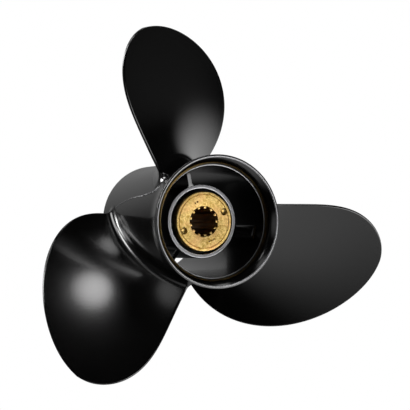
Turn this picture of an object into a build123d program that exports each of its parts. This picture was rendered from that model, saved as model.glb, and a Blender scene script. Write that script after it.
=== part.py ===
from build123d import *
import math
import os

# Three-bladed, right-hand outboard propeller with exhaust through the hub, in millimetres.
# The shaft lies along Y with the aft end towards -Y.  The origin is the centre of the
# thrust face at the front of the brass sleeve, where the propeller seats on its shaft.
# Angles are seen from aft, from +X towards +Z.

# ---- the whole propeller ------------------------------------------------------------
DIAMETER = 289.0            # 11 3/8 inch
PITCH = 330.0               # 13 inch
BLADES = 3
FIRST_TIP_ANGLE = 108.4     # where the first blade's tip stands at rest
BLADE_STEP = 360.0 / BLADES
SHAFT_FIT = 0.05            # radial clearance where one body turns in another
END_GAP = 0.3               # axial clearance between bodies

# ---- stations along the shaft, forward of the thrust face -----------------------------
THRUST_Y = 0.0
AFT_Y = -104.0              # lip of the diffuser ring
FLARE_END_Y = AFT_Y + 18.0  # where the diffuser ring meets the barrel
BARREL_FRONT_Y = AFT_Y + 120.6
TUBE_AFT_Y = AFT_Y + 29.4
TUBE_FRONT_Y = AFT_Y + 101.0
SLEEVE_AFT_Y = AFT_Y + 25.2
FLANGE_FRONT_Y = SLEEVE_AFT_Y + 7.5
SHOULDER_AFT_Y = THRUST_Y - 5.5

# ---- diffuser ring and barrel -----------------------------------------------------------
RING_R = 47.5
RING_BAND = 2.0             # length of the ring's straight outer band, behind its cone
LIP_R = 45.9                # inner edge of the aft lip
LIP_ROUND = 0.5
THROAT_R = 40.4             # where the ring's inner cone ends
THROAT_DEPTH = 9.9
BARREL_AFT_R = 43.8
BARREL_FRONT_R = 40.4
BARREL_BORE_AFT_R = 40.1
BARREL_BORE_FRONT_R = 37.0
RIM_ROUND = 1.0

# ---- inner hub tube and ribs --------------------------------------------------------------
TUBE_AFT_R = 26.4
TUBE_FRONT_R = 27.4
TUBE_BORE_R = 23.6
TUBE_CHAMFER = 0.5
RIB_THICKNESS = 3.6
RIB_FRONT_Y = TUBE_FRONT_Y - 6.0
RIB_LEAN = 5.0              # the rib's aft edge starts this much nearer the lip at the barrel

# ---- rubber bush and splined brass sleeve ----------------------------------------------------
SLEEVE_R = 16.5
FLANGE_R = 21.5
SHOULDER_R = 20.0
FLANGE_CHAMFER = 0.6
BUSH_CHAMFER = 1.5
PILOT_R = 11.4
PILOT_LENGTH = 12.0
SPLINE_TEETH = 13
SPLINE_MAJOR_R = 10.9
SPLINE_MINOR_R = 9.3
TOOTH_WIDTH = 2.1
TOOTH_START = 1.0           # the teeth begin this far inside the aft face
TOOTH_ANGLE = 83.5          # one tooth stands here
GROOVE_R = 19.2             # turned line round the flange's face
GROOVE_WIDTH = 0.5
GROOVE_DEPTH = 0.4
DIMPLE_R = 2.4              # two blind dimples that a spanner or a press tool locates in
DIMPLE_CIRCLE_R = 17.0
DIMPLE_DEPTH = 2.2
DIMPLE_ANGLE = 23.5

# ---- blade -----------------------------------------------------------------------------------
TIP_R = DIAMETER / 2.0
BLADE_Y = AFT_Y + 63.8      # blade reference line carried in to the shaft's axis
RAKE = 50.3                 # how far the line leans aft at the tip if it were straight
RAKE_EASE = 13.4            # how much of that the line's curve gives back
ROOT_THICKNESS = 11.0
TIP_THICKNESS = 3.0
EDGE_THICKNESS = 2.0
MIDDLE_X = 22.0             # the thickest line stands this far ahead of the tip line at the root
SWELL_HALF_WIDTH = 52.0     # from the thickest line to where the blade is down to its edges
ROOT_R = 44.0
BURIED_R = 36.0             # the raw blade reaches in to here before the hub is cut away
# An edge's angle off the tip line, in degrees, is sqrt(1 - share^2) times a cubic in share,
# where share is radius / tip radius.  These are the cubics' terms, constant term first.
LEADING_EDGE = (-43.8, -67.6, 72.8, 3.5)
TRAILING_EDGE = (53.6, -133.8, 198.3, -93.2)
EDGE_POINTS = 7             # outline points on each edge, not counting the tip
SECTION_HEIGHTS = [18.0, 30.0, 44.0, 60.0, 78.0, 96.0, 114.0, 132.0, 150.0]
SECTION_FROM_X = -44.0
SECTION_TO_X = 84.0
SECTION_POINTS = 14


def turned(points):
    """Solid of revolution about the shaft from (radius, y) points."""
    return revolve(make_face(Polyline(*points, close=True)), Axis.Y, 360)


def cylinder_y(radius, y_from, y_to):
    """Solid cylinder on the shaft's axis."""
    return turned([(0, y_from), (radius, y_from), (radius, y_to), (0, y_to)])


def from_aft(angle, radius=0.0):
    """Place something built about local Z at an angle seen from aft."""
    return Rot(0, 90.0 - angle, 0) * Pos(0, 0, radius)


def diffuser_ring():
    """Flared ring at the aft end that lets the exhaust out behind the hub."""
    return turned([
        (LIP_R, AFT_Y),
        (RING_R - LIP_ROUND, AFT_Y),
        (RING_R, AFT_Y + LIP_ROUND),
        (RING_R, AFT_Y + RING_BAND),
        (BARREL_AFT_R, FLARE_END_Y),
        (BARREL_BORE_AFT_R, FLARE_END_Y),
        (THROAT_R, AFT_Y + THROAT_DEPTH),
    ])


def hub_barrel():
    """Tapered outer barrel that carries the blades."""
    return turned([
        (BARREL_BORE_AFT_R, FLARE_END_Y),
        (BARREL_AFT_R, FLARE_END_Y),
        (BARREL_FRONT_R, BARREL_FRONT_Y - RIM_ROUND),
        (BARREL_FRONT_R - RIM_ROUND, BARREL_FRONT_Y),
        (BARREL_BORE_FRONT_R, BARREL_FRONT_Y),
    ])


def hub_envelope():
    """Filled outside of barrel and ring, which trims the blades' roots."""
    return turned([
        (0, AFT_Y),
        (RING_R, AFT_Y),
        (RING_R, AFT_Y + RING_BAND),
        (BARREL_AFT_R, FLARE_END_Y),
        (BARREL_FRONT_R, BARREL_FRONT_Y - RIM_ROUND),
        (BARREL_FRONT_R, BARREL_FRONT_Y),
        (0, BARREL_FRONT_Y),
    ])


def inner_hub_tube():
    """Tube in the middle of the hub, bored for the rubber bush."""
    return turned([
        (TUBE_BORE_R + TUBE_CHAMFER, TUBE_AFT_Y),
        (TUBE_AFT_R - TUBE_CHAMFER, TUBE_AFT_Y),
        (TUBE_AFT_R, TUBE_AFT_Y + TUBE_CHAMFER),
        (TUBE_FRONT_R, TUBE_FRONT_Y - TUBE_CHAMFER),
        (TUBE_FRONT_R - TUBE_CHAMFER, TUBE_FRONT_Y),
        (TUBE_BORE_R + TUBE_CHAMFER, TUBE_FRONT_Y),
        (TUBE_BORE_R, TUBE_FRONT_Y - TUBE_CHAMFER),
        (TUBE_BORE_R, TUBE_AFT_Y + TUBE_CHAMFER),
    ])


def tube_radius(y):
    """Outer radius of the inner hub tube at a station."""
    aft, front = TUBE_AFT_Y + TUBE_CHAMFER, TUBE_FRONT_Y - TUBE_CHAMFER
    return TUBE_AFT_R + (TUBE_FRONT_R - TUBE_AFT_R) * (y - aft) / (front - aft)


def bore_radius(y):
    """Inner radius of the barrel at a station."""
    share = (y - FLARE_END_Y) / (BARREL_FRONT_Y - FLARE_END_Y)
    return BARREL_BORE_AFT_R + (BARREL_BORE_FRONT_R - BARREL_BORE_AFT_R) * share


def exhaust_space():
    """Ring-shaped space between tube and barrel that the ribs cross."""
    rib_aft_y = TUBE_AFT_Y + TUBE_CHAMFER
    outer_aft_y = rib_aft_y - RIB_LEAN
    return turned([
        (TUBE_AFT_R, rib_aft_y),
        (bore_radius(outer_aft_y), outer_aft_y),
        (bore_radius(RIB_FRONT_Y), RIB_FRONT_Y),
        (tube_radius(RIB_FRONT_Y), RIB_FRONT_Y),
    ])


def rib(number, space):
    """Radial rib in line with a blade, from the tube to the barrel."""
    length = BARREL_FRONT_Y - AFT_Y
    middle = (BARREL_FRONT_Y + AFT_Y) / 2.0
    plate = Pos(0, middle, BARREL_AFT_R / 2.0) * Box(RIB_THICKNESS, length, BARREL_AFT_R)
    angle = FIRST_TIP_ANGLE - number * BLADE_STEP
    return space & (from_aft(angle) * plate)


def rubber_bush():
    """Rubber that drives the hub and gives way when a blade strikes something."""
    outer = TUBE_BORE_R - SHAFT_FIT
    inner = SLEEVE_R + SHAFT_FIT
    aft = FLANGE_FRONT_Y + END_GAP
    front = SHOULDER_AFT_Y - END_GAP
    return turned([
        (inner, aft),
        (outer - BUSH_CHAMFER, aft),
        (outer, aft + BUSH_CHAMFER),
        (outer, front - BUSH_CHAMFER),
        (outer - BUSH_CHAMFER, front),
        (inner, front),
    ])


def spline_teeth():
    """Straight-sided teeth that stand inwards from the sleeve's bore."""
    length = (THRUST_Y - PILOT_LENGTH) - (SLEEVE_AFT_Y + TOOTH_START)
    middle = THRUST_Y - PILOT_LENGTH - length / 2.0
    height = SPLINE_MAJOR_R + 1.0 - SPLINE_MINOR_R
    tooth = Pos(0, middle, SPLINE_MINOR_R + height / 2.0) * Box(TOOTH_WIDTH, length, height)
    step = 360.0 / SPLINE_TEETH
    return [from_aft(TOOTH_ANGLE + n * step) * tooth for n in range(SPLINE_TEETH)]


def splined_sleeve():
    """Brass sleeve with a flange aft, a shoulder in front and the splined bore."""
    blank = turned([
        (SPLINE_MAJOR_R, SLEEVE_AFT_Y),
        (FLANGE_R - FLANGE_CHAMFER, SLEEVE_AFT_Y),
        (FLANGE_R, SLEEVE_AFT_Y + FLANGE_CHAMFER),
        (FLANGE_R, FLANGE_FRONT_Y),
        (SLEEVE_R, FLANGE_FRONT_Y),
        (SLEEVE_R, SHOULDER_AFT_Y),
        (SHOULDER_R, SHOULDER_AFT_Y),
        (SHOULDER_R, THRUST_Y - FLANGE_CHAMFER),
        (SHOULDER_R - FLANGE_CHAMFER, THRUST_Y),
        (PILOT_R, THRUST_Y),
        (PILOT_R, THRUST_Y - PILOT_LENGTH),
        (SPLINE_MAJOR_R, THRUST_Y - PILOT_LENGTH),
    ])
    blank = blank + spline_teeth()
    groove = turned([
        (GROOVE_R - GROOVE_WIDTH / 2.0, SLEEVE_AFT_Y),
        (GROOVE_R + GROOVE_WIDTH / 2.0, SLEEVE_AFT_Y),
        (GROOVE_R, SLEEVE_AFT_Y + GROOVE_DEPTH),
    ])
    blank = blank - groove
    dimple = Pos(0, SLEEVE_AFT_Y, 0) * cylinder_y(DIMPLE_R, -DIMPLE_DEPTH, DIMPLE_DEPTH)
    for angle in (DIMPLE_ANGLE, DIMPLE_ANGLE + 180.0):
        blank = blank - from_aft(angle, DIMPLE_CIRCLE_R) * dimple
    return blank


def blade_face_y(x, z):
    """Station of the blade's helical face over a point of its plan; z is along the tip line."""
    radius = math.hypot(x, z)
    angle = math.degrees(math.atan2(-x, z))
    share = radius / TIP_R
    return BLADE_Y - PITCH * angle / 360.0 - RAKE * share + RAKE_EASE * share * share


def steepness(x, z, step=0.5):
    """How much longer the face is along Y than square to itself."""
    slope_x = (blade_face_y(x + step, z) - blade_face_y(x - step, z)) / (2.0 * step)
    slope_z = (blade_face_y(x, z + step) - blade_face_y(x, z - step)) / (2.0 * step)
    return math.sqrt(1.0 + slope_x ** 2 + slope_z ** 2)


def blade_thickness(x, z):
    """Thickness square to the face: full along the middle of the blade, thin at both edges."""
    share = min(max((z - ROOT_R) / (TIP_R - ROOT_R), 0.0), 1.0)
    full = ROOT_THICKNESS + (TIP_THICKNESS - ROOT_THICKNESS) * share
    middle_x = MIDDLE_X * (1.0 - (z / TIP_R) ** 3)
    swell = 1.0 - ((x - middle_x) / SWELL_HALF_WIDTH) ** 2
    return EDGE_THICKNESS + (full - EDGE_THICKNESS) * max(swell, 0.0)


def blade_section(z):
    """Closed flat section across the raw blade at a height along the tip line."""
    step = (SECTION_TO_X - SECTION_FROM_X) / (SECTION_POINTS - 1)
    aft_side, front_side = [], []
    for n in range(SECTION_POINTS):
        x = SECTION_FROM_X + n * step
        face_y = blade_face_y(x, z)
        stretch = steepness(x, z)
        aft_side.append((x, face_y - EDGE_THICKNESS / 2.0 * stretch, z))
        front_side.append((x, face_y + (blade_thickness(x, z) - EDGE_THICKNESS / 2.0) * stretch, z))
    edges = [
        Edge.make_spline([Vector(*p) for p in aft_side]),
        Edge.make_line(aft_side[-1], front_side[-1]),
        Edge.make_spline([Vector(*p) for p in reversed(front_side)]),
        Edge.make_line(front_side[0], aft_side[0]),
    ]
    return Wire(edges)


def edge_angle(radius, terms):
    """Angle of a blade's edge off the tip line at a radius, in degrees."""
    share = radius / TIP_R
    cubic = sum(term * share ** power for power, term in enumerate(terms))
    return math.sqrt(1.0 - share ** 2) * cubic


def plan_point(radius, angle):
    """Point of the blade's plan, as (x, z), from its radius and its angle off the tip line."""
    turn = math.radians(angle)
    return (-radius * math.sin(turn), radius * math.cos(turn))


def blade_outline_prism():
    """Everything inside the blade's outline as seen along the shaft."""
    turns = [math.pi / 2.0 * n / EDGE_POINTS for n in range(EDGE_POINTS)]
    radii = [ROOT_R + (TIP_R - ROOT_R) * math.sin(turn) ** 2 for turn in turns]
    leading = [plan_point(r, edge_angle(r, LEADING_EDGE)) for r in radii]
    trailing = [plan_point(r, edge_angle(r, TRAILING_EDGE)) for r in radii]
    curve = Spline(*leading, plan_point(TIP_R, 0.0), *reversed(trailing))
    lead_in = plan_point(BURIED_R, edge_angle(ROOT_R, LEADING_EDGE))
    trail_in = plan_point(BURIED_R, edge_angle(ROOT_R, TRAILING_EDGE))
    closing = Polyline(curve @ 1, trail_in, lead_in, curve @ 0)
    plan = Plane.XZ * make_face(curve + closing)
    return extrude(plan, amount=DIAMETER, both=True)


def raw_blade():
    """Blade along +Z, before it is turned to its place and trimmed at the hub."""
    slab = Solid.make_loft([blade_section(z) for z in SECTION_HEIGHTS])
    return blade_outline_prism() & slab


def blade(number, raw, envelope):
    """One of the blades, ending on the barrel's outer surface."""
    angle = FIRST_TIP_ANGLE - number * BLADE_STEP
    return from_aft(angle) * raw - envelope


def save(shape, node):
    """Write one node and say how many solids and how much metal it holds."""
    solids = shape.solids()
    export_step(shape if len(solids) == 1 else Compound(children=solids), f"parts/{node}.step")
    print(node, len(solids), round(sum(s.volume for s in solids)))


save(diffuser_ring(), "diffuser_ring")
save(hub_barrel(), "hub_barrel")
save(inner_hub_tube(), "inner_hub_tube")
save(rubber_bush(), "rubber_bush")
save(splined_sleeve(), "splined_sleeve")
passage = exhaust_space()
raw = raw_blade()
hub = hub_envelope()
for index in range(BLADES):
    save(rib(index, passage), f"rib_{index + 1}")
    save(blade(index, raw, hub), f"blade_{index + 1}")
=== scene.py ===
import bpy
import bmesh
import math
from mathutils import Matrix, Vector


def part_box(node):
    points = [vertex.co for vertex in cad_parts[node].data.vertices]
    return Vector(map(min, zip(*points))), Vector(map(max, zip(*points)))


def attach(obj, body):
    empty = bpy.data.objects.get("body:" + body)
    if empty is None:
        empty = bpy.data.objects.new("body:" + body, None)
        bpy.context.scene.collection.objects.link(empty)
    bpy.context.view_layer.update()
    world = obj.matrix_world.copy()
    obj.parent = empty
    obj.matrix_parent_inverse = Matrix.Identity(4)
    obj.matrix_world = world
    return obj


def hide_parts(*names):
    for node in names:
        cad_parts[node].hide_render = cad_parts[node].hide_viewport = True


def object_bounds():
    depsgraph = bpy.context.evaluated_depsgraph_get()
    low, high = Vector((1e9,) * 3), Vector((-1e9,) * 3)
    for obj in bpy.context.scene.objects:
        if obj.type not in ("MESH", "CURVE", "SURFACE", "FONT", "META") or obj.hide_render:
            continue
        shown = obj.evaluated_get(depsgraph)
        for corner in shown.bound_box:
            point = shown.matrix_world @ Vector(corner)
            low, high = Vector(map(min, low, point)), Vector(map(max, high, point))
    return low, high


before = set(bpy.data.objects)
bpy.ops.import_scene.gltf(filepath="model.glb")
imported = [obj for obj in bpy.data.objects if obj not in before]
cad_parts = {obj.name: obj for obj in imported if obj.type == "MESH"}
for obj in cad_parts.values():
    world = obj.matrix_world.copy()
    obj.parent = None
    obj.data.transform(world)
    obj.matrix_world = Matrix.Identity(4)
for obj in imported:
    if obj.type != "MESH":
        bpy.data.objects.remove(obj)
cad_low, cad_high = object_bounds()

# ---- barrel and diffuser ring ------------------------------------------------------------------
# The outside of the casting: a tapered barrel that carries the blades, and a flared ring at
# its aft end that opens the exhaust out.  It is die-cast aluminium, blasted and then sprayed
# with black enamel, so its corners are soft and the paint has a fine orange peel.


class Value:
    """A node's output that arithmetic can be written on."""

    def __init__(self, graph, socket):
        self.graph = graph
        self.socket = socket

    def __add__(self, other):
        return self.graph.math("ADD", self, other)

    def __radd__(self, other):
        return self.graph.math("ADD", other, self)

    def __sub__(self, other):
        return self.graph.math("SUBTRACT", self, other)

    def __rsub__(self, other):
        return self.graph.math("SUBTRACT", other, self)

    def __mul__(self, other):
        return self.graph.math("MULTIPLY", self, other)

    def __rmul__(self, other):
        return self.graph.math("MULTIPLY", other, self)

    def __truediv__(self, other):
        return self.graph.math("DIVIDE", self, other)

    def above(self, limit):
        return self.graph.math("MAXIMUM", self, limit)

    def below(self, limit):
        return self.graph.math("MINIMUM", self, limit)

    def root(self):
        return self.graph.math("SQRT", self)


class Graph:
    """A node tree, with one method that adds any node to it.  Settings go on the node itself,
    and inputs, by name or number, take a number or another node's output."""

    def __init__(self, tree):
        self.tree = tree

    def node(self, kind, settings=None, inputs=None):
        made = self.tree.nodes.new(kind)
        for name, setting in (settings or {}).items():
            setattr(made, name, setting)
        for key, given in (inputs or {}).items():
            if isinstance(given, Value):
                self.tree.links.new(given.socket, made.inputs[key])
            else:
                made.inputs[key].default_value = given
        return made

    def value(self, kind, settings=None, inputs=None, output=0):
        return Value(self, self.node(kind, settings, inputs).outputs[output])

    def math(self, operation, *terms):
        return self.value("ShaderNodeMath", {"operation": operation}, dict(enumerate(terms)))


def new_material(name):
    """An empty material and the graph of its nodes."""
    material = bpy.data.materials.new(name)
    material.use_nodes = True
    material.node_tree.nodes.clear()
    return material, Graph(material.node_tree)


def put_on(graph, shader_inputs):
    """Ends a material with one surface shader."""
    shader = graph.value("ShaderNodeBsdfPrincipled", None, shader_inputs)
    graph.node("ShaderNodeOutputMaterial", None, {"Surface": shader})


def noise(graph, place, scale, detail=2.0):
    """Fine unevenness between 0 and 1; scale is in ripples per metre."""
    sizes = {"Vector": place, "Scale": scale, "Detail": detail, "Roughness": 0.55}
    return graph.value("ShaderNodeTexNoise", None, sizes)


def bumps(graph, depth, height):
    """A normal roughened to a depth in metres, where height runs from 0 to about 1."""
    return graph.value("ShaderNodeBump", None, {"Strength": 1.0, "Distance": depth, "Height": height})


def mixed(graph, share, low, high):
    """A colour between two, by share."""
    return graph.value("ShaderNodeMix", {"data_type": "RGBA"}, {0: share, 6: low, 7: high}, 2)


def ramped(value, start, end):
    """0 before start and 1 past end, with a straight slope between.  End may be the lower."""
    return ((value - start) * (1.0 / (end - start))).above(0.0).below(1.0)


def object_place(graph):
    """Object coordinates, which every pattern is laid out on."""
    return graph.value("ShaderNodeTexCoord", output=3)


def shaft_place(graph):
    """Object coordinates, the distance from the shaft, and the place along it."""
    place = object_place(graph)
    split = graph.node("ShaderNodeSeparateXYZ", None, {0: place})
    across, along, up = [Value(graph, out) for out in split.outputs]
    return place, (across * across + up * up).root(), along


DEEP_ENAMEL = (0.0020, 0.0020, 0.0021, 1.0)
THIN_ENAMEL = (0.0045, 0.0043, 0.0041, 1.0)
# Pale grey metal that is mixed into the enamel as a painted highlight, where edges catch the light.
GLINT_GREY_METAL = (0.42, 0.42, 0.43, 1.0)
COAT = 0.3


def black_enamel(name, painted_glint=None, shine=0.7):
    """Sprayed black enamel with fine orange peel over a blasted casting.  The second argument,
    if given, takes the graph, the radius and the place along the shaft to how much painted
    highlight goes there, as pale metal in place of enamel; shine is how metallic that looks."""
    material, graph = new_material(name)
    place, radius, along = shaft_place(graph)
    cloud = noise(graph, place, 45.0)
    peel = noise(graph, place, 700.0, 1.0)
    grain = noise(graph, place, 1900.0)
    colour = mixed(graph, cloud, DEEP_ENAMEL, THIN_ENAMEL)
    roughness = 0.13 + 0.07 * grain + 0.03 * cloud
    coat, metal = COAT, 0.0
    # Painted highlight: where the given function says so, the enamel turns to pale metal, less coated
    # and more metallic.
    if painted_glint:
        glint_share = painted_glint(graph, radius, along)
        colour = mixed(graph, glint_share, colour, GLINT_GREY_METAL)
        roughness = roughness + glint_share * 0.22
        coat, metal = COAT - COAT * glint_share, glint_share * shine
    put_on(graph, {
        "Base Color": colour,
        "Metallic": metal,
        "Roughness": roughness,
        "Coat Weight": coat,
        "Coat Roughness": 0.06,
        "Normal": bumps(graph, 0.00003, peel * 0.8 + grain * 0.3),
    })
    return material


NEARLY_STRAIGHT = math.radians(89.5)


def rounded(corners, steps=6):
    """Closed outline through (a, b, radius) corners, each turned by an arc of its radius."""
    outline = []
    for n, (a, b, radius) in enumerate(corners):
        here = Vector((a, b))
        back = (Vector(corners[n - 1][:2]) - here).normalized()
        ahead = (Vector(corners[(n + 1) % len(corners)][:2]) - here).normalized()
        half = back.angle(ahead) / 2.0
        if radius <= 0.0 or half > NEARLY_STRAIGHT:
            outline.append(here)
            continue
        centre = here + (back + ahead).normalized() * radius / math.sin(half)
        start = here + back * radius / math.tan(half) - centre
        end = here + ahead * radius / math.tan(half) - centre
        turn = start.angle_signed(end)
        for k in range(steps + 1):
            part = turn * k / steps
            across = Vector((start.x * math.cos(part) + start.y * math.sin(part),
                             start.y * math.cos(part) - start.x * math.sin(part)))
            outline.append(centre + across)
    return outline


SAME_POINT = 1e-7


def closed_up(bm):
    """Welds a mesh's seams and points its faces outwards."""
    bmesh.ops.remove_doubles(bm, verts=bm.verts, dist=SAME_POINT)
    bmesh.ops.recalc_face_normals(bm, faces=bm.faces)


def as_piece(name, bm, body, material, crease=35.0):
    """Closes a mesh and hands it to its body and material.  Edges sharper than crease, in
    degrees, stay sharp."""
    closed_up(bm)
    mesh = bpy.data.meshes.new(name)
    bm.to_mesh(mesh)
    bm.free()
    mesh.materials.append(material)
    mesh.shade_smooth()
    mesh.set_sharp_from_angle(angle=math.radians(crease))
    piece = bpy.data.objects.new(name, mesh)
    bpy.context.scene.collection.objects.link(piece)
    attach(piece, body)
    return piece


def skin(bm, rings):
    """Faces between each closed ring of points and the next."""
    for low, high in zip(rings, rings[1:]):
        for k in range(len(low)):
            j = (k + 1) % len(low)
            bm.faces.new((low[k], low[j], high[j], high[k]))


def lathe(outline, steps=192):
    """Turns a closed (radius, y) outline about the shaft."""
    bm = bmesh.new()
    rings = []
    for n in range(steps):
        turn = 2.0 * math.pi * n / steps
        rings.append([bm.verts.new((r * math.cos(turn), y, r * math.sin(turn))) for r, y in outline])
    skin(bm, rings + rings[:1])
    return bm


ring_low, ring_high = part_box("diffuser_ring")
barrel_low, barrel_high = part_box("hub_barrel")
AFT = ring_low.y                # the ring's aft edge, which other stations are measured from
RIM = barrel_high.y             # the barrel's front end
RING_R = ring_high.x
LIP_R = 0.0459                  # inside the ring at its aft edge
BAND_FRONT = AFT + 0.0020       # the ring's widest part is a narrow straight band
FLARE_START = AFT + 0.0220      # where the flare leaves the barrel, with a fine step
FLARE_END = barrel_low.y        # where the barrel begins, for the tapers of its two walls
STEP = 0.0002
BARREL_R = barrel_high.x        # the barrel tapers from here to its front end
BARREL_FRONT_R = 0.0404
BORE_AFT_R = 0.0401
BORE_FRONT_R = 0.0370
THROAT = AFT + 0.0099           # where the bell inside the ring meets the bore, at a ledge
THROAT_R = 0.0404
LEDGE = 0.0005


def along_taper(y, y_from, r_from, y_to, r_to):
    """Radius of a straight taper at a station."""
    return r_from + (r_to - r_from) * (y - y_from) / (y_to - y_from)


def bell(from_y, from_r, to_y, to_r, power, count=7):
    """Corners of a bell's curve, which leaves its first end gently and ends steep."""
    corners = []
    for n in range(1, count):
        share = n / count
        radius = from_r + (to_r - from_r) * share ** power
        corners.append((radius, from_y + (to_y - from_y) * share, 0.0))
    return corners


def ring_painted_highlights(graph, radius, along):
    """Painted highlights: pale metal on the lip's two edges, fainter on the ring's outer edge, and on
    the ledge at the throat, where these edges catch the light.
    """
    lip = ramped(radius, LIP_R + 0.0007, LIP_R + 0.0004)
    lip = lip * ramped(along, AFT + 0.0006, AFT + 0.0003)
    outer = ramped(radius, RING_R - 0.0003, RING_R - 0.0001)
    outer = outer * ramped(along, AFT + 0.0008, AFT + 0.0004)
    ledge = ramped(along, THROAT + 0.0003, THROAT + 0.0001)
    ledge = ledge * ramped(along, THROAT - 0.0003, THROAT - 0.0001)
    return lip + 0.3 * outer + ledge * ramped(radius, BARREL_R, BARREL_R - 0.0003)


enamel = black_enamel("black_enamel")
start_r = along_taper(FLARE_START, FLARE_END, BARREL_R, RIM, BARREL_FRONT_R)
hub_shell = as_piece("hub_shell", lathe(rounded([
    (RING_R, AFT, 0.0005),
    (RING_R, BAND_FRONT, 0.0006),
    *reversed(bell(FLARE_START, start_r + STEP, BAND_FRONT, RING_R, 1.8)),
    (start_r + STEP, FLARE_START - STEP, 0.0),
    (start_r, FLARE_START, 0.0),
    (BARREL_FRONT_R, RIM, 0.0012),
    (BORE_FRONT_R, RIM, 0.0006),
    (BORE_AFT_R, FLARE_END, 0.0),
    (THROAT_R - LEDGE, THROAT, 0.0001),
    (THROAT_R, THROAT, 0.0),
    *bell(THROAT, THROAT_R, AFT, LIP_R, 2.0),
    (LIP_R, AFT, 0.0003),
])), "propeller", black_enamel("ring_enamel", ring_painted_highlights))
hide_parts("hub_barrel", "diffuser_ring")

# ---- inner hub tube ----------------------------------------------------------------------------
# The tube in the middle of the casting, bored out for the rubber bush.  Its aft rim is
# faced off on the lathe after painting, so the rim is bare grey aluminium with fine
# turned rings, and the rest is enamel.

tube_low, tube_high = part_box("inner_hub_tube")
TUBE_AFT = tube_low.y
TUBE_FRONT = tube_high.y
TUBE_R = 0.0264                 # outside, at the aft rim
TUBE_FRONT_R = tube_high.x
TUBE_BORE_R = 0.0236
FACED = 0.0008                  # how far forward of the rim the bare metal reaches
FACED_DARK = (0.16, 0.16, 0.17, 1.0)
FACED_PALE = (0.30, 0.30, 0.31, 1.0)
# The paler grey along the rim's edges is a painted highlight.
FACED_EDGE_HIGHLIGHT = (0.62, 0.62, 0.64, 1.0)
TUBE_ENAMEL = (0.003, 0.003, 0.003, 1.0)


def turned_rings(graph, radius, closeness):
    """The fine rings that a lathe's tool leaves on a face."""
    return noise(graph, graph.value("ShaderNodeCombineXYZ", None, {0: radius * closeness}), 60.0)


def faced_rim():
    """Enamel that gives way to bare turned aluminium on the aft rim, with a painted highlight along
    the rim's outer and inner edges.
    """
    material, graph = new_material("faced_rim")
    place, radius, along = shaft_place(graph)
    bare = ramped(along - TUBE_AFT, FACED + 0.0001, FACED - 0.0001)
    grain = noise(graph, place, 1500.0)
    rings = turned_rings(graph, radius, 60.0)
    # Painted highlight: the rim's outer and inner edges are given a paler metal.
    outer_edge_highlight = ramped(radius, TUBE_R - 0.0008, TUBE_R - 0.0004)
    inner_edge_highlight = ramped(radius, TUBE_BORE_R + 0.0009, TUBE_BORE_R + 0.0005)
    face = mixed(graph, 0.5 * rings + 0.5 * grain, FACED_DARK, FACED_PALE)
    metal = mixed(graph, (outer_edge_highlight + inner_edge_highlight).below(1.0), face, FACED_EDGE_HIGHLIGHT)
    put_on(graph, {
        "Base Color": mixed(graph, bare, TUBE_ENAMEL, metal),
        "Metallic": bare * 0.75,
        "Roughness": 0.24 + bare * 0.12 + 0.12 * grain,
        "Normal": bumps(graph, 0.00002, rings + grain * 0.6),
    })
    return material


inner_tube = as_piece("inner_tube", lathe(rounded([
    (TUBE_R, TUBE_AFT, 0.0005),
    (TUBE_FRONT_R, TUBE_FRONT, 0.0008),
    (TUBE_BORE_R, TUBE_FRONT, 0.0008),
    (TUBE_BORE_R, TUBE_AFT, 0.0004),
])), "propeller", faced_rim())
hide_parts("inner_hub_tube")

# ---- ribs --------------------------------------------------------------------------------------
# Three cast ribs in line with the blades hold the tube in the middle of the barrel.  They
# are as thick as the casting's walls, rounded along their aft edges, and run into both
# walls with a fillet.

BLADES = 3
FIRST_TIP_ANGLE = 108.4         # degrees, anticlockwise from the right, seen from aft
RIB_AFT = TUBE_AFT + 0.0005
RIB_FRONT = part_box("rib_2")[1].y
RIB_LEAN = 0.005                # how far further aft the rib stands at the barrel


def fillet_reach(distance, radius):
    """How far a fillet of this radius stands out at a distance from the wall it meets."""
    gap = radius - min(max(distance, 0.0), radius)
    return radius - math.sqrt(radius * radius - gap * gap)


def rib_mesh(thickness=0.0036, tube_fillet=0.0015, barrel_fillet=0.0040, edge=0.0005,
             buried=0.0008, rows=16):
    """One rib standing along +Z, as rings of a rounded section from tube to barrel."""
    bm = bmesh.new()
    rings = []
    for row in range(rows + 1):
        share = 0.5 - 0.5 * math.cos(math.pi * row / rows)
        height = TUBE_R - buried + (BORE_AFT_R - TUBE_R + 2.0 * buried) * share
        at_barrel = fillet_reach(BORE_AFT_R - height, barrel_fillet)
        flare = fillet_reach(height - TUBE_R, tube_fillet) + at_barrel
        half = thickness / 2.0 + flare
        aft = RIB_AFT - RIB_LEAN * share - at_barrel / 2.0
        front = RIB_FRONT + at_barrel / 2.0
        section = rounded([(half, aft, edge), (half, front, edge),
                           (-half, front, edge), (-half, aft, edge)])
        ring = []
        for x, y in section:
            inner = along_taper(y, TUBE_AFT, TUBE_R, TUBE_FRONT, TUBE_FRONT_R) - buried
            outer = along_taper(y, FLARE_END, BORE_AFT_R, RIM, BORE_FRONT_R) + buried
            radius = inner + (outer - inner) * share
            ring.append(bm.verts.new((x, y, math.sqrt(radius * radius - x * x))))
        rings.append(ring)
    skin(bm, rings)
    bm.faces.new(rings[0])
    bm.faces.new(rings[-1])
    bmesh.ops.triangulate(bm, faces=[f for f in bm.faces if len(f.verts) > 4])
    return bm


def geometry_tree(name, sizes):
    """A Geometry Nodes tree that takes and gives a mesh, with a named input for each size."""
    tree = bpy.data.node_groups.new(name, "GeometryNodeTree")
    tree.interface.new_socket("Geometry", in_out="INPUT", socket_type="NodeSocketGeometry")
    tree.interface.new_socket("Geometry", in_out="OUTPUT", socket_type="NodeSocketGeometry")
    for title, size in sizes.items():
        kind = "NodeSocketInt" if isinstance(size, int) else "NodeSocketFloat"
        tree.interface.new_socket(title, in_out="INPUT", socket_type=kind)
    graph = Graph(tree)
    entry = graph.node("NodeGroupInput")
    given = {out.name: Value(graph, out) for out in entry.outputs if out.name}
    return graph, given


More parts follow.
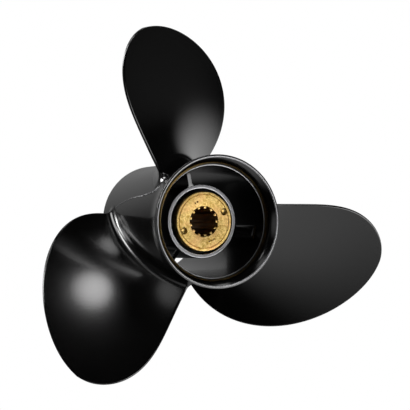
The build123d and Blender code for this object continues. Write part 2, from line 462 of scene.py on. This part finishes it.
def copies_round_shaft(graph, geometry, count, first_angle, material):
    """Ends a tree with equal copies round the shaft; angles are in degrees, seen from aft."""
    degree = math.pi / 180.0
    one = graph.value("GeometryNodeGeometryToInstance", None, {0: geometry})
    repeat = graph.node("GeometryNodeDuplicateElements", {"domain": "INSTANCE"},
                        {"Geometry": one, "Amount": count})
    index = Value(graph, repeat.outputs["Duplicate Index"])
    turn = (90.0 - first_angle + index * 360.0 / count) * degree
    turned = graph.value("GeometryNodeRotateInstances", None, {
        "Instances": Value(graph, repeat.outputs["Geometry"]),
        "Rotation": graph.value("ShaderNodeCombineXYZ", None, {1: turn}),
        "Local Space": False,
    })
    real = graph.value("GeometryNodeRealizeInstances", None, {0: turned})
    painted = graph.value("GeometryNodeSetMaterial", None, {"Geometry": real, "Material": material})
    graph.node("NodeGroupOutput", None, {0: painted})


def grown(name, tree, sizes, start=None):
    """Runs a tree on a mesh with these sizes, and gives the result back as an open bmesh."""
    mesh = bpy.data.meshes.new(name)
    if start:
        start.to_mesh(mesh)
        start.free()
    seed = bpy.data.objects.new(name, mesh)
    modifier = seed.modifiers.new("shape", "NODES")
    modifier.node_group = tree
    for item in tree.interface.items_tree:
        if item.in_out == "INPUT" and item.name in sizes:
            modifier[item.identifier] = sizes[item.name]
    bpy.context.scene.collection.objects.link(seed)
    evaluated = seed.evaluated_get(bpy.context.evaluated_depsgraph_get())
    made = bpy.data.meshes.new_from_object(evaluated)
    bm = bmesh.new()
    bm.from_mesh(made)
    bpy.data.objects.remove(seed)
    bpy.data.meshes.remove(made)
    return bm


rib_sizes = {"Ribs": BLADES, "First rib angle": FIRST_TIP_ANGLE}
rib_graph, given = geometry_tree("ribs_round_tube", rib_sizes)
copies_round_shaft(rib_graph, given["Geometry"], given["Ribs"], given["First rib angle"], enamel)
hub_ribs = as_piece("hub_ribs", grown("hub_ribs", rib_graph.tree, rib_sizes, rib_mesh()),
                    "propeller", enamel)
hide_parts("rib_1", "rib_2", "rib_3")

# ---- blades ------------------------------------------------------------------------------------
# Three blades cast in one with the barrel.  The aft face is a true helix of constant pitch,
# raked aft; the metal is put on the front face, thickest along the middle.  The edges are
# rounded, and each root runs out on to the barrel in a wide fillet.

blade_sizes = {
    "Blades": BLADES,
    "First tip angle": FIRST_TIP_ANGLE,
    "Tip radius": 0.1445,
    "Pitch": 0.330,                         # how far one turn of the helix goes
    "Reference station": AFT + 0.0638,      # where the tip's line would cross the shaft
    "Rake": 0.0503,                         # how far aft the face leans, shaft to tip,
    "Rake ease": 0.0134,                    # less this much, most of it near the tip
    "Root thickness": 0.0110,
    "Tip thickness": 0.0030,
    "Edge thickness": 0.0022,
    "Root fillet": 0.0072,
    "Buried": 0.0010,                       # how deep the root starts in the barrel's wall
    "Rows": 120,                            # of points, from root to tip
    "Points round": 112,                    # the section, in each row
}
# An edge's angle off the tip line, in degrees, is sqrt(1 - share^2) times a cubic in share,
# where share is radius / tip radius.  These are the cubics' terms, constant term first.
LEADING_EDGE = (-43.8, -67.6, 72.8, 3.5)
TRAILING_EDGE = (53.6, -133.8, 198.3, -93.2)
SEAM_GAP = 2e-6


def held_to_barrel(radius, middle_r, size):
    """1 at the barrel, where a blade's skin must keep its radius, and 0 past the fillet."""
    return (1.0 - (radius - middle_r) / (size["Root fillet"] * 2.0)).above(0.0).below(1.0)


def blade_tree():
    """A tube of points, one ring a row, wrapped on to the helix from root to tip."""
    graph, size = geometry_tree("blades_round_hub", blade_sizes)
    grid = graph.value("GeometryNodeMeshGrid", None, {
        "Size X": 1.0, "Size Y": 1.0, "Vertices X": size["Rows"],
        "Vertices Y": size["Points round"] + 1})
    split = graph.node("ShaderNodeSeparateXYZ", None, {0: graph.value("GeometryNodeInputPosition")})
    row = Value(graph, split.outputs[0]) + 0.5
    loop = (Value(graph, split.outputs[1]) + 0.5) * (2.0 * math.pi)
    chord = graph.math("COSINE", loop)
    front = graph.math("GREATER_THAN", graph.math("SINE", loop), 0.0)
    tip_r = size["Tip radius"]
    lead = size["Pitch"] / (2.0 * math.pi)

    def barrel_radius(y):
        return along_taper(y, FLARE_END, BARREL_R, RIM, BARREL_FRONT_R)

    def face_station(share, angle):
        lean = size["Rake"] * share - size["Rake ease"] * share * share
        return size["Reference station"] - lead * angle - lean

    def edge(share, terms):
        cubic = terms[0] + share * (terms[1] + share * (terms[2] + share * terms[3]))
        return (1.0 - share * share).above(0.0).root() * cubic * (math.pi / 180.0)

    def fillet(distance, radius):
        gap = radius - distance.above(0.0).below(radius)
        return radius - (radius * radius - gap * gap).above(0.0).root()

    # each row's radius, crowded towards root and tip, and the two edges there
    bow = graph.math("SINE", row * (math.pi / 2.0))
    out = bow * bow
    middle_r = (BARREL_R + BARREL_FRONT_R) / 2.0
    plain_r = middle_r + (tip_r - middle_r) * out
    share = plain_r / tip_r
    leading = edge(share, LEADING_EDGE)
    trailing = edge(share, TRAILING_EDGE)
    centre = (leading + trailing) * 0.5
    half = (trailing - leading) * 0.5
    root_y = face_station(share, centre - half * chord)
    radius = plain_r + (1.0 - out) * (barrel_radius(root_y) - size["Buried"] - middle_r)
    flare = fillet(radius - barrel_radius(root_y), size["Root fillet"])
    helix = (radius * radius + lead * lead).root()
    wide = half + flare / helix
    angle = centre - wide * chord
    reach = radius / tip_r
    station = face_station(reach, angle)

    # how far the skin stands off the helix, on its aft or its front side
    in_from_edge = wide * helix * (1.0 - graph.math("ABSOLUTE", chord))
    edge_round = size["Edge thickness"] * 0.5 + flare
    gap = (1.0 - in_from_edge / edge_round).above(0.0)
    closing = (1.0 - gap * gap).above(0.0).root()
    first_rows = (row * (size["Rows"] - 1.0)).below(1.0)
    spread = (radius - middle_r) / (tip_r - middle_r)
    full = size["Root thickness"] + (size["Tip thickness"] - size["Root thickness"]) * spread
    belly = (full - size["Edge thickness"]) * (1.0 - chord * chord)
    aft_side = size["Edge thickness"] * -0.5 - flare
    front_side = size["Edge thickness"] * 0.5 + flare + belly
    offset = (aft_side + (front_side - aft_side) * front) * closing * first_rows

    # the skin is moved square to the helix, and then put in place round the shaft
    slope_out = (size["Rake ease"] * 2.0 * reach - size["Rake"]) / tip_r
    slope_round = lead / radius
    length = (1.0 + slope_out * slope_out + slope_round * slope_round).root()
    move_out = offset * (0.0 - slope_out) / length
    move_round = offset * slope_round / length
    move_y = offset / length
    kept_r = radius + move_out * (1.0 - held_to_barrel(radius, middle_r, size))
    around = angle + graph.math("ARCTANGENT", move_round / radius)
    place = graph.value("ShaderNodeCombineXYZ", None, {
        0: kept_r * graph.math("SINE", around) * -1.0,
        1: station + move_y,
        2: kept_r * graph.math("COSINE", around)})
    moved = graph.value("GeometryNodeSetPosition", None, {"Geometry": grid, "Position": place})
    closed = graph.value("GeometryNodeMergeByDistance", None, {
        "Geometry": moved, "Distance": SEAM_GAP})
    copies_round_shaft(graph, closed, size["Blades"], size["First tip angle"], enamel)
    return graph.tree


blades = as_piece("blades", grown("blades", blade_tree(), blade_sizes),
                  "propeller", enamel, crease=60.0)
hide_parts("blade_1", "blade_2", "blade_3")

# ---- parting line ------------------------------------------------------------------------------
# The fine ridge that the halves of the mould leave on the barrel.  It runs forward from each
# blade's trailing edge to the next blade's leading edge, and dies away as it goes.

# Stops on the line: metres forward of the ring's aft edge, and degrees round from the tip.
PARTING_LINE = [(0.0200, 28.0), (0.0222, 36.5), (0.0265, 42.0), (0.0340, 43.8), (0.0460, 46.2),
                (0.0600, 47.5), (0.0740, 50.0), (0.0880, 54.3), (0.0960, 59.0), (0.1000, 64.0)]


def smooth_through(stops, steps):
    """Points of a smooth curve through the stops, with this many steps to each span.  The
    first and last stops only steer it."""
    points = []
    for n in range(1, len(stops) - 2):
        before, here, ahead, after = [Vector(stop) for stop in stops[n - 1:n + 3]]
        for k in range(steps):
            t = k / steps
            points.append(0.5 * (2.0 * here + (ahead - before) * t
                                 + (2.0 * before - 5.0 * here + 4.0 * ahead - after) * t * t
                                 + (3.0 * here - before - 3.0 * ahead + after) * t * t * t))
    return points


def parting_mesh(half_width=0.0006, height=0.0006, buried=0.0003, fade=0.75, steps=10):
    """The ridge past a blade that stands at +Z, as a low round bead that tapers off."""
    bm = bmesh.new()
    path = smooth_through(PARTING_LINE, steps)
    rings = []
    for n, (depth, turn) in enumerate(path):
        y = AFT + depth
        wall = along_taper(y, FLARE_END, BARREL_R, RIM, BARREL_FRONT_R)
        ahead = path[min(n + 1, len(path) - 1)] - path[max(n - 1, 0)]
        run = Vector((ahead[0], math.radians(ahead[1]) * wall)).normalized()
        tall = height * (1.0 - fade * n / len(path))
        bead = [(-1.0, -buried), (-0.6, tall * 0.6), (0.0, tall), (0.6, tall * 0.6), (1.0, -buried)]
        ring = []
        for side, up in bead:
            around = math.radians(90.0 + turn) + side * half_width * run.x / wall
            radius = wall + up
            ring.append(bm.verts.new((radius * math.cos(around), y - side * half_width * run.y,
                                      radius * math.sin(around))))
        rings.append(ring)
    skin(bm, rings)
    bm.faces.new(rings[0])
    bm.faces.new(rings[-1])
    return bm


def ridge_painted_glints(graph, radius, along):
    """Painted glints: pale metallic dashes along the ridge, most of them near the trailing edge, over
    a faint glint all along it.
    """
    dashes = ramped(noise(graph, object_place(graph), 260.0), 0.42, 0.56)
    return dashes * ramped(along, AFT + 0.075, AFT + 0.030) + 0.15


# The ridge's enamel carries painted glints along its length.
ridge_glint_paint = black_enamel("ridge_enamel_painted_glints", ridge_painted_glints, 0.2)
parting_sizes = {"Lines": BLADES, "First blade angle": FIRST_TIP_ANGLE}
parting_graph, given = geometry_tree("parting_lines_round_hub", parting_sizes)
copies_round_shaft(parting_graph, given["Geometry"], given["Lines"], given["First blade angle"], ridge_glint_paint)
parting_ridges = grown("parting_line", parting_graph.tree, parting_sizes, parting_mesh())
as_piece("parting_line", parting_ridges, "propeller", ridge_glint_paint, crease=60.0)

# ---- rubber bush -------------------------------------------------------------------------------
# The cushion between sleeve and hub, moulded in black rubber and pressed into the tube.
# Its ends are dished, as they come from the mould, and have a dull skin.


DARK_RUBBER = (0.012, 0.012, 0.012, 1.0)
PALE_RUBBER = (0.022, 0.021, 0.020, 1.0)


def moulded_rubber():
    """Dull black rubber with a fine moulded skin."""
    material, graph = new_material("moulded_rubber")
    grain = noise(graph, object_place(graph), 900.0)
    put_on(graph, {
        "Base Color": mixed(graph, grain, DARK_RUBBER, PALE_RUBBER),
        "Roughness": 0.62 + 0.2 * grain,
        "Normal": bumps(graph, 0.00005, grain),
    })
    return material


bush_low, bush_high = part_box("rubber_bush")
sleeve_low, sleeve_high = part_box("splined_sleeve")
BUSH_R = bush_high.x
SLEEVE_R = 0.01655              # the bush's bore, round the sleeve
BUSH_MIDDLE_R = (BUSH_R + SLEEVE_R) / 2.0
DISH = 0.0015                   # how deep each end is dished
rubber_cushion = as_piece("rubber_cushion", lathe(rounded([
    (BUSH_R, bush_low.y, 0.0010),
    (BUSH_R, bush_high.y, 0.0010),
    (BUSH_MIDDLE_R, bush_high.y - DISH, 0.0040),
    (SLEEVE_R, bush_high.y, 0.0004),
    (SLEEVE_R, bush_low.y, 0.0004),
    (BUSH_MIDDLE_R, bush_low.y + DISH, 0.0040),
])), "rubber_bush", moulded_rubber())
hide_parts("rubber_bush")

# ---- splined brass sleeve ----------------------------------------------------------------------
# The sleeve that the engine's shaft drives.  It is turned from brass bar, with a flange at
# its aft end, a shoulder and plain bore in front, and a bore broached with thirteen
# straight teeth.  The flange's face has a turned line, two round dimples and five punch dots.

SLEEVE_AFT = sleeve_low.y
SLEEVE_FRONT = sleeve_high.y
FLANGE_R = sleeve_high.x
FLANGE_FRONT = SLEEVE_AFT + 0.0075
BODY_R = 0.0165                 # between flange and shoulder, where the rubber grips
SHOULDER_AFT = SLEEVE_FRONT - 0.0055
SHOULDER_R = 0.0200
PILOT_R = 0.0114                # the plain bore, in front of the teeth
PILOT_END = SLEEVE_FRONT - 0.012
SPLINE_MAJOR_R = 0.0109         # over the roots, between the teeth
SPLINE_MINOR_R = 0.0093         # over the teeth's tops
GROOVE_R = 0.0192               # the turned line on the flange's face
GROOVE_HALF_WIDTH = 0.0003
GROOVE_DEPTH = 0.0004
DIMPLE_CIRCLE_R = 0.0170
DIMPLE_ANGLES = (23.5, 203.5)
PUNCH_CIRCLE_R = 0.0148
PUNCH_ANGLES = (110.0, 118.0, -73.0, -65.5, -58.0)
DARK_BRASS = (0.42, 0.25, 0.05, 1.0)
BRIGHT_BRASS = (0.86, 0.64, 0.25, 1.0)
TARNISHED_BRASS = (0.80, 0.46, 0.20, 1.0)
# A darker brass painted as shade inside the splined bore.
BORE_SHADE_BRASS = (0.30, 0.17, 0.06, 1.0)


def turned_brass():
    """Brass with a fine crystalline face, turned rings, a little tarnish, and painted shade deeper in
    the splined bore.
    """
    material, graph = new_material("turned_brass")
    place, radius, along = shaft_place(graph)
    grain = noise(graph, place, 1300.0)
    fleck = noise(graph, place, 420.0, 3.0)
    tarnish = noise(graph, place, 90.0)
    rings = turned_rings(graph, radius, 50.0)
    # Painted shade: the spline's roots and teeth turn to a darker brass over the first 20 mm into the
    # bore.
    inside = ramped(along, SLEEVE_AFT, SLEEVE_AFT + 0.02)
    bore_shade = ramped(radius, SPLINE_MAJOR_R + 0.0002, SPLINE_MAJOR_R) * inside
    bright = mixed(graph, ramped(0.5 * fleck + 0.5 * grain, 0.40, 0.60), DARK_BRASS, BRIGHT_BRASS)
    dull = (tarnish * 2.4 - 1.1).above(0.0).below(0.5)
    put_on(graph, {
        "Base Color": mixed(graph, bore_shade, mixed(graph, dull, bright, TARNISHED_BRASS), BORE_SHADE_BRASS),
        "Metallic": 1.0,
        "Roughness": 0.40 + 0.16 * grain,
        "Normal": bumps(graph, 0.00003, grain + fleck * 0.5 + rings * 0.4),
    })
    return material


def drill(circle_r, angle, radius, depth, nose, mouth, steps=32):
    """A round-nosed drill's shape, to cut one mark.  The hole is straight for its depth, then
    rounded by its nose, and its mouth is slightly countersunk."""
    bm = bmesh.new()
    across = circle_r * math.cos(math.radians(angle))
    up = circle_r * math.sin(math.radians(angle))
    bends = [math.radians(15.0 * n) for n in range(7)]
    profile = [(radius * math.sin(bend), depth + nose * math.cos(bend)) for bend in bends]
    profile = profile + [(radius, mouth), (radius + 2.0 * mouth, -mouth)]
    turns = [2.0 * math.pi * n / steps for n in range(steps)]
    rings = []
    for ring_r, y in profile:
        rings.append([bm.verts.new((across + ring_r * math.cos(turn), SLEEVE_AFT + y,
                                    up + ring_r * math.sin(turn))) for turn in turns])
    skin(bm, rings)
    bm.faces.new(rings[-1])
    closed_up(bm)
    mesh = bpy.data.meshes.new("drill")
    bm.to_mesh(mesh)
    bm.free()
    return bpy.data.objects.new("drill", mesh)


def drilled(bm, drills):
    """Cuts each drill's mark in a mesh, and gives the mesh back."""
    mesh = bpy.data.meshes.new("sleeve_blank")
    bmesh.ops.recalc_face_normals(bm, faces=bm.faces)
    bm.to_mesh(mesh)
    bm.free()
    blank = bpy.data.objects.new("sleeve_blank", mesh)
    bpy.context.scene.collection.objects.link(blank)
    for cutter in drills:
        bpy.context.scene.collection.objects.link(cutter)
        cut = blank.modifiers.new("mark", "BOOLEAN")
        cut.object = cutter
        cut.operation = "DIFFERENCE"
        cut.solver = "EXACT"
    evaluated = blank.evaluated_get(bpy.context.evaluated_depsgraph_get())
    made = bpy.data.meshes.new_from_object(evaluated)
    result = bmesh.new()
    result.from_mesh(made)
    for spent in drills + [blank]:
        bpy.data.objects.remove(spent)
    bpy.data.meshes.remove(made)
    return result


dimples = [drill(DIMPLE_CIRCLE_R, angle, radius=0.0024, depth=0.0005, nose=0.0014, mouth=0.0002)
           for angle in DIMPLE_ANGLES]
punch_marks = [drill(PUNCH_CIRCLE_R, angle, radius=0.0006, depth=0.0007, nose=0.0005, mouth=0.0001)
               for angle in PUNCH_ANGLES]
brass = turned_brass()
sleeve_outline = rounded([
    (SPLINE_MAJOR_R, SLEEVE_AFT, 0.0003),
    (GROOVE_R - GROOVE_HALF_WIDTH, SLEEVE_AFT, 0.0),
    (GROOVE_R, SLEEVE_AFT + GROOVE_DEPTH, 0.0),
    (GROOVE_R + GROOVE_HALF_WIDTH, SLEEVE_AFT, 0.0),
    (FLANGE_R, SLEEVE_AFT, 0.0006),
    (FLANGE_R, FLANGE_FRONT, 0.0004),
    (BODY_R, FLANGE_FRONT, 0.0),
    (BODY_R, SHOULDER_AFT, 0.0),
    (SHOULDER_R, SHOULDER_AFT, 0.0004),
    (SHOULDER_R, SLEEVE_FRONT, 0.0008),
    (PILOT_R, SLEEVE_FRONT, 0.0004),
    (PILOT_R, PILOT_END, 0.0),
    (SPLINE_MAJOR_R, PILOT_END, 0.0),
])
brass_sleeve = as_piece("brass_sleeve", drilled(lathe(sleeve_outline), dimples + punch_marks),
                        "drive_sleeve", brass, crease=28.0)
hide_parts("splined_sleeve")


def tooth_mesh(width=0.0021, start=0.0008, buried=0.0006, broken=0.00022):
    """One straight tooth of the spline, with its edges broken, standing inwards at +Z."""
    bm = bmesh.new()
    bmesh.ops.create_cube(bm, size=1.0)
    low = SPLINE_MINOR_R
    high = SPLINE_MAJOR_R + buried
    aft = SLEEVE_AFT + start
    for vert in bm.verts:
        vert.co = Vector((vert.co.x * width,
                          (aft + PILOT_END) / 2.0 + vert.co.y * (PILOT_END - aft),
                          (low + high) / 2.0 + vert.co.z * (high - low)))
    bmesh.ops.bevel(bm, geom=list(bm.edges), offset=broken, segments=2, profile=0.5, affect="EDGES")
    return bm


tooth_sizes = {"Teeth": 13, "First tooth angle": 83.5}
tooth_graph, given = geometry_tree("teeth_round_bore", tooth_sizes)
copies_round_shaft(tooth_graph, given["Geometry"], given["Teeth"], given["First tooth angle"], brass)
teeth = grown("spline_teeth", tooth_graph.tree, tooth_sizes, tooth_mesh())
as_piece("spline_teeth", teeth, "drive_sleeve", brass)

# ---- floor, light and camera -------------------------------------------------------------------
# A pale floor well below the propeller, soft boxes about it, and a long lens that looks at
# the hub from aft and a little to one side.

VIEW_AZIMUTH = math.radians(-23.86)
VIEW_ELEVATION = math.radians(0.33)
VIEW_DISTANCE = 1.932
AIM_LEFT = 0.0094               # the lens looks this far to the left of the hub's aft end,
AIM_UP = 0.0117                 # and this far above it
SENSOR_WIDTH = 36.0             # in millimetres, and so is the lens
LENS = 240.4
FLOOR_HALF = 6.0
FLOOR_DROP = 0.35               # below the propeller's lowest point
WHITE = (1.0, 1.0, 1.0, 1.0)


def pale_floor():
    """Plain pale paper that lights itself, so that it stays even."""
    material, graph = new_material("pale_floor")
    paper = graph.value("ShaderNodeEmission", None, {"Color": WHITE, "Strength": 1.0})
    graph.node("ShaderNodeOutputMaterial", None, {"Surface": paper})
    return material


floor_mesh = bpy.data.meshes.new("floor")
floor_z = cad_low.z - FLOOR_DROP
floor_mesh.from_pydata([(-FLOOR_HALF, -FLOOR_HALF, floor_z), (FLOOR_HALF, -FLOOR_HALF, floor_z),
                        (FLOOR_HALF, FLOOR_HALF, floor_z), (-FLOOR_HALF, FLOOR_HALF, floor_z)],
                       [], [(0, 1, 2, 3)])
floor_mesh.materials.append(pale_floor())
floor = bpy.data.objects.new("floor", floor_mesh)
bpy.context.scene.collection.objects.link(floor)
# The lamps below the floor still light the propeller and show in its enamel.
floor.visible_glossy = False
floor.visible_diffuse = False

world = bpy.data.worlds.new("studio")
bpy.context.scene.world = world
world.use_nodes = True
world.node_tree.nodes.clear()
studio = Graph(world.node_tree)

# Azimuth, elevation and half width in degrees, then strength.  Azimuth 0 is dead ahead of the
# hub and 90 is to its right, seen from aft.
LAMPS = [
    (160.0, 59.0, 9.5, 9.5),      # small box overhead, behind the camera
    (100.0, 71.0, 9.0, 2.5),      # box high on the right
    (10.0, 22.0, 42.0, 0.27),     # bright wall ahead
    (18.0, -27.0, 16.0, 0.15),    # pale floor ahead
    (-56.0, 24.0, 14.0, 30.0),    # window ahead, to the left
    (-60.0, 65.0, 12.0, 8.0),     # skylight above it
    (-82.0, 47.0, 12.0, 16.0),    # high window to the left
    (-112.0, 4.0, 18.0, 0.6),     # white board on the left
    (-122.0, 52.0, 12.0, 1.0),    # dim box high on the left
    (70.0, -26.0, 27.0, 1.5),     # white board, low on the right
    (104.0, -2.0, 24.0, 0.08),    # pale wall on the right
    (165.0, -70.0, 54.0, 0.9),    # white table below
    (150.0, -19.0, 24.0, 6.0),    # box below the camera
]
DIM_ROOM = 0.008


def lamp_glow(graph, direction, azimuth, elevation, half_width, strength):
    """A lamp far off, full in its middle and eased away to nothing at its half width."""
    turn, tilt = math.radians(azimuth), math.radians(elevation)
    aim = Vector((math.sin(turn) * math.cos(tilt), math.cos(turn) * math.cos(tilt), math.sin(tilt)))
    facing = graph.value("ShaderNodeVectorMath", {"operation": "DOT_PRODUCT"},
                         {0: direction, 1: aim}, output=1)
    rim = math.cos(math.radians(half_width))
    return graph.value("ShaderNodeMapRange", {"interpolation_type": "SMOOTHSTEP"},
                       {0: facing, 1: rim, 2: 1.0, 3: 0.0, 4: strength})


sky = studio.value("ShaderNodeTexCoord", output=0)
room = DIM_ROOM
for lamp in LAMPS:
    room = room + lamp_glow(studio, sky, *lamp)
# The backdrop is plain white where the camera sees it, and the room's light everywhere else.
backdrop = studio.value("ShaderNodeLightPath", output=0)
shine = studio.math("MAXIMUM", backdrop, room * (1.0 - backdrop))
light = studio.value("ShaderNodeBackground", None, {"Color": WHITE, "Strength": shine})
studio.node("ShaderNodeOutputWorld", None, {"Surface": light})

hub_point = Vector((0.0, AFT, 0.0))
back = Vector((math.sin(VIEW_AZIMUTH) * math.cos(VIEW_ELEVATION),
               -math.cos(VIEW_AZIMUTH) * math.cos(VIEW_ELEVATION),
               math.sin(VIEW_ELEVATION)))
right = Vector((0.0, 0.0, 1.0)).cross(back).normalized()
eye = hub_point + back * VIEW_DISTANCE
aim = hub_point - right * AIM_LEFT + Vector((0.0, 0.0, AIM_UP))
lens = bpy.data.cameras.new("camera")
lens.sensor_width = SENSOR_WIDTH
lens.lens = LENS
camera = bpy.data.objects.new("camera", lens)
camera.location = eye
camera.rotation_euler = (aim - eye).to_track_quat("-Z", "Y").to_euler()
bpy.context.scene.collection.objects.link(camera)
bpy.context.scene.camera = camera
bpy.context.scene.view_settings.view_transform = "Standard"
